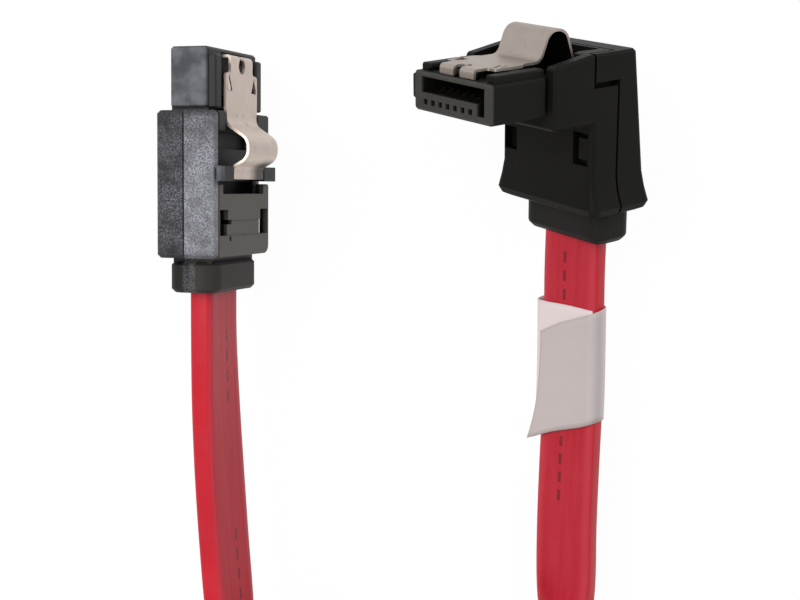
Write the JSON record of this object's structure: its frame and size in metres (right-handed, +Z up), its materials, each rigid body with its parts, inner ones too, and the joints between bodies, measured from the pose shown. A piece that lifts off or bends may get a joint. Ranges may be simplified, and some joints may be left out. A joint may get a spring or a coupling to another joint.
{
  "type": "sata data cable",
  "caption": "Flat ribbon data cable with a straight plug and a right-angle plug, each with a press latch; spare cable tied in a hank.",
  "frame": {"origin": "on the supporting surface, under the middle of the box round both plugs", "axes": "+Z up, -Y the way the cable leaves the plugs, +X from the straight plug to the right-angle plug"},
  "size_m": [0.0554, 0.1607, 0.0248],
  "materials": {
    "housing_grey": "moulded, satin",
    "cover_grey": "moulded, smooth matt",
    "overmould_grey": "moulded, sparkling fine grain",
    "shell_black": "moulded, satin",
    "grommet_black": "moulded, soft satin",
    "latch_steel": "rolled, bright cut edges",
    "contact_plating": "gold plated",
    "jacket_red": "soft extruded jacket, satin",
    "tie_black": "plastic coated wire, matt",
    "label_film": "pale film, satin"
  },
  "bodies": {
    "cable": {"straight_housing": "housing_grey", "straight_cover": "cover_grey", "straight_overmould": "overmould_grey", "straight_contact_1": "contact_plating", "straight_contact_2": "contact_plating", "straight_contact_3": "contact_plating", "straight_contact_4": "contact_plating", "straight_contact_5": "contact_plating", "straight_contact_6": "contact_plating", "straight_contact_7": "contact_plating", "angled_housing": "housing_grey", "angled_front_shell": "shell_black", "angled_rear_shell": "shell_black", "angled_grommet": "grommet_black", "angled_contact_1": "contact_plating", "angled_contact_2": "contact_plating", "angled_contact_3": "contact_plating", "angled_contact_4": "contact_plating", "angled_contact_5": "contact_plating", "angled_contact_6": "contact_plating", "angled_contact_7": "contact_plating", "cable_run_straight_end": "jacket_red", "cable_run_angled_end": "jacket_red", "cable_hank": "jacket_red", "twist_tie": "tie_black", "label_flag": "label_film"},
    "straight_latch": {"straight_latch": "latch_steel"},
    "angled_latch": {"angled_latch": "latch_steel"}
  },
  "joints": [
    {"name": "straight_latch_press", "type": "hinge", "parent": "cable", "child": "straight_latch", "pos_m": [-0.01887, 0.0103, 0.00878], "axis": [0.4955, -0.0659, -0.8661], "range_deg": [0, 5], "stiffness_Nm_per_rad": 0.3},
    {"name": "angled_latch_press", "type": "hinge", "parent": "cable", "child": "angled_latch", "pos_m": [0.00381, 0.00983, 0.01872], "axis": [-0.4334, 0.1077, -0.8948], "range_deg": [0, 5], "stiffness_Nm_per_rad": 0.3}
  ]
}
